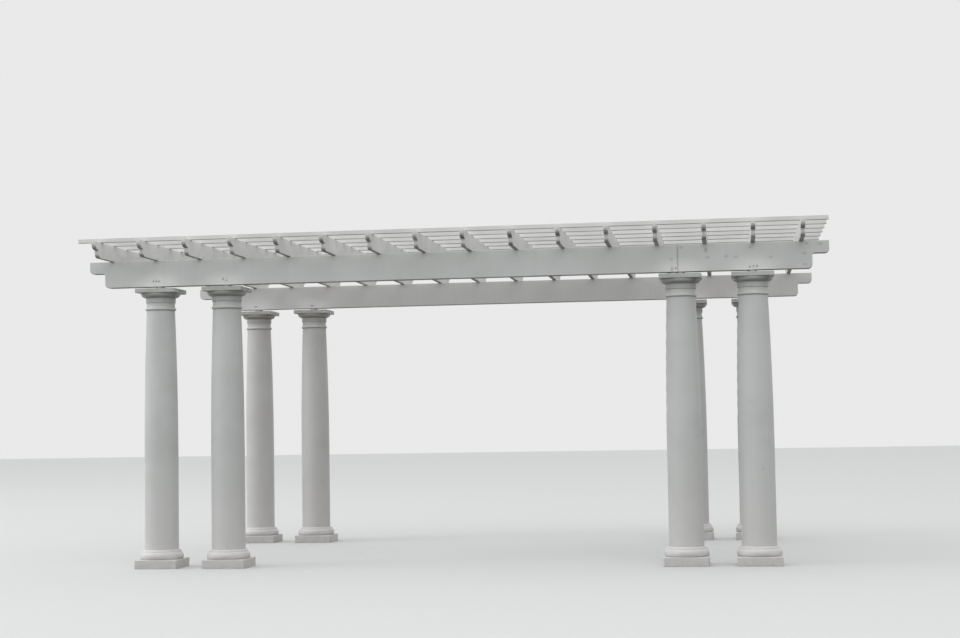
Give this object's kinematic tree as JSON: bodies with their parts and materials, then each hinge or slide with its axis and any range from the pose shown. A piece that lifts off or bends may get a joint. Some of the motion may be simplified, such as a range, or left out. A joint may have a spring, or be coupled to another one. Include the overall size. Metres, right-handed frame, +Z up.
{
  "type": "garden pergola",
  "caption": "Free-standing white garden pergola with paired round columns, doubled beams with stepped ends, rafters and purlins.",
  "frame": {"origin": "on the ground at the middle of the plan", "axes": "+X along the beams to the right as seen from the front, +Y from the front row to the back row, +Z up"},
  "size_m": [6.52, 4.266, 2.903],
  "materials": {
    "column_paint": "satin",
    "plinth_paint": "satin",
    "timber_paint": "matte",
    "fixings": "matte"
  },
  "bodies": {
    "root": {"front_left_outer_base": "plinth_paint", "front_left_outer_shaft": "column_paint", "front_left_outer_cap": "column_paint", "front_left_inner_base": "plinth_paint", "front_left_inner_shaft": "column_paint", "front_left_inner_cap": "column_paint", "front_right_inner_base": "plinth_paint", "front_right_inner_shaft": "column_paint", "front_right_inner_cap": "column_paint", "front_right_outer_base": "plinth_paint", "front_right_outer_shaft": "column_paint", "front_right_outer_cap": "column_paint", "back_left_outer_base": "plinth_paint", "back_left_outer_shaft": "column_paint", "back_left_outer_cap": "column_paint", "back_left_inner_base": "plinth_paint", "back_left_inner_shaft": "column_paint", "back_left_inner_cap": "column_paint", "back_right_inner_base": "plinth_paint", "back_right_inner_shaft": "column_paint", "back_right_inner_cap": "column_paint", "back_right_outer_base": "plinth_paint", "back_right_outer_shaft": "column_paint", "back_right_outer_cap": "column_paint", "front_beam_outer_ply": "timber_paint", "front_beam_inner_ply": "timber_paint", "back_beam_inner_ply": "timber_paint", "back_beam_outer_ply": "timber_paint", "rafter_01": "timber_paint", "rafter_02": "timber_paint", "rafter_03": "timber_paint", "rafter_04": "timber_paint", "rafter_05": "timber_paint", "rafter_06": "timber_paint", "rafter_07": "timber_paint", "rafter_08": "timber_paint", "rafter_09": "timber_paint", "rafter_10": "timber_paint", "rafter_11": "timber_paint", "rafter_12": "timber_paint", "rafter_13": "timber_paint", "rafter_14": "timber_paint", "rafter_15": "timber_paint", "rafter_16": "timber_paint", "purlins": "timber_paint"}
  },
  "joints": []
}
